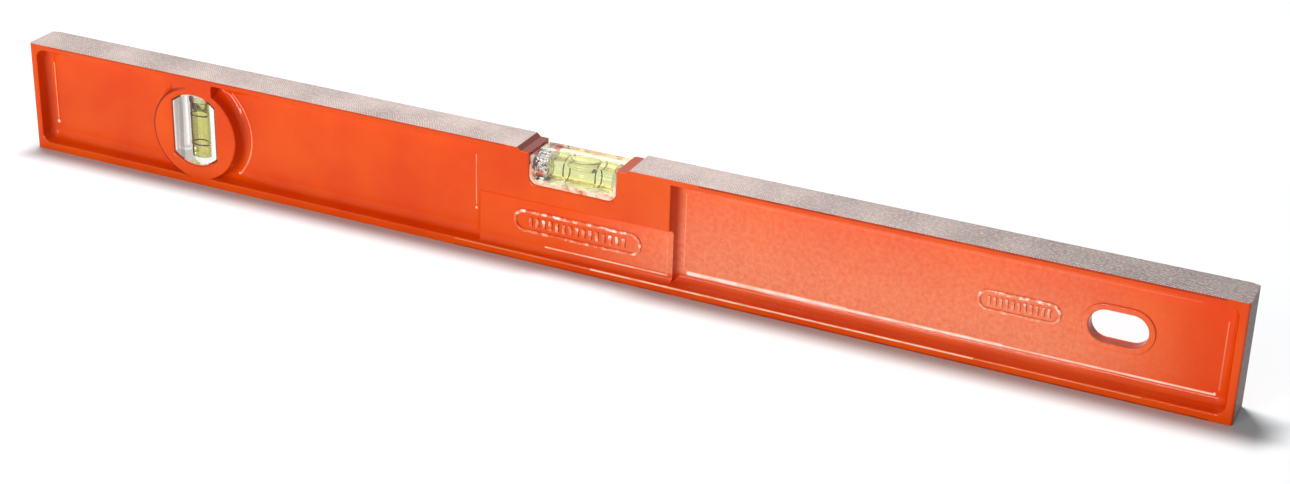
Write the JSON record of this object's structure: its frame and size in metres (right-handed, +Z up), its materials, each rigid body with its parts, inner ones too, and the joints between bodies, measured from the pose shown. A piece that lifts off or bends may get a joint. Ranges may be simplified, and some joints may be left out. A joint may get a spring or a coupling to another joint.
{
  "type": "spirit level",
  "caption": "Cast spirit level with a milled base and top, a block vial in its top edge, an upright plumb vial in a round window and a hanging slot.",
  "frame": {"origin": "centre of the milled base, at the bottom of the level", "axes": "+X along the level towards the end with the hanging slot, +Y through its thickness towards the back, +Z up from the milled base to the milled top"},
  "size_m": [0.6, 0.02, 0.0555],
  "materials": {
    "painted_cast_aluminium": "glossy orange paint on cast aluminium, with milled bare faces",
    "clear_acrylic": "clear polished acrylic",
    "vial_spirit": "clear yellow-green liquid",
    "vial_bubble": "air bubble in the liquid",
    "black_ring": "black ring set in the bore",
    "vial_cement": "pale cement that beds the vials"
  },
  "bodies": {
    "level": {"body_casting": "painted_cast_aluminium", "centre_vial_block": "clear_acrylic", "centre_vial_plug": "vial_cement", "centre_vial_spirit": "vial_spirit", "centre_vial_ring_left": "black_ring", "centre_vial_ring_right": "black_ring", "centre_vial_bedding": "vial_cement", "plumb_vial_block": "clear_acrylic", "plumb_vial_plug": "clear_acrylic", "plumb_vial_spirit": "vial_spirit", "plumb_vial_ring_lower": "black_ring", "plumb_vial_ring_upper": "black_ring", "plumb_vial_bedding_lower": "vial_cement", "plumb_vial_bedding_upper": "vial_cement"},
    "centre_bubble": {"centre_vial_bubble": "vial_bubble"},
    "plumb_bubble": {"plumb_vial_bubble": "vial_bubble"}
  },
  "joints": [
    {"name": "centre_bubble_drift", "type": "slide", "parent": "level", "child": "centre_bubble", "axis": [1, 0, 0], "range_m": [-0.008, 0.008], "stiffness_N_per_m": 20, "deforming": ["centre_vial_spirit"]},
    {"name": "plumb_bubble_drift", "type": "slide", "parent": "level", "child": "plumb_bubble", "axis": [0, 0, 1], "range_m": [-0.0225, 0], "stiffness_N_per_m": 20, "deforming": ["plumb_vial_spirit"]}
  ]
}
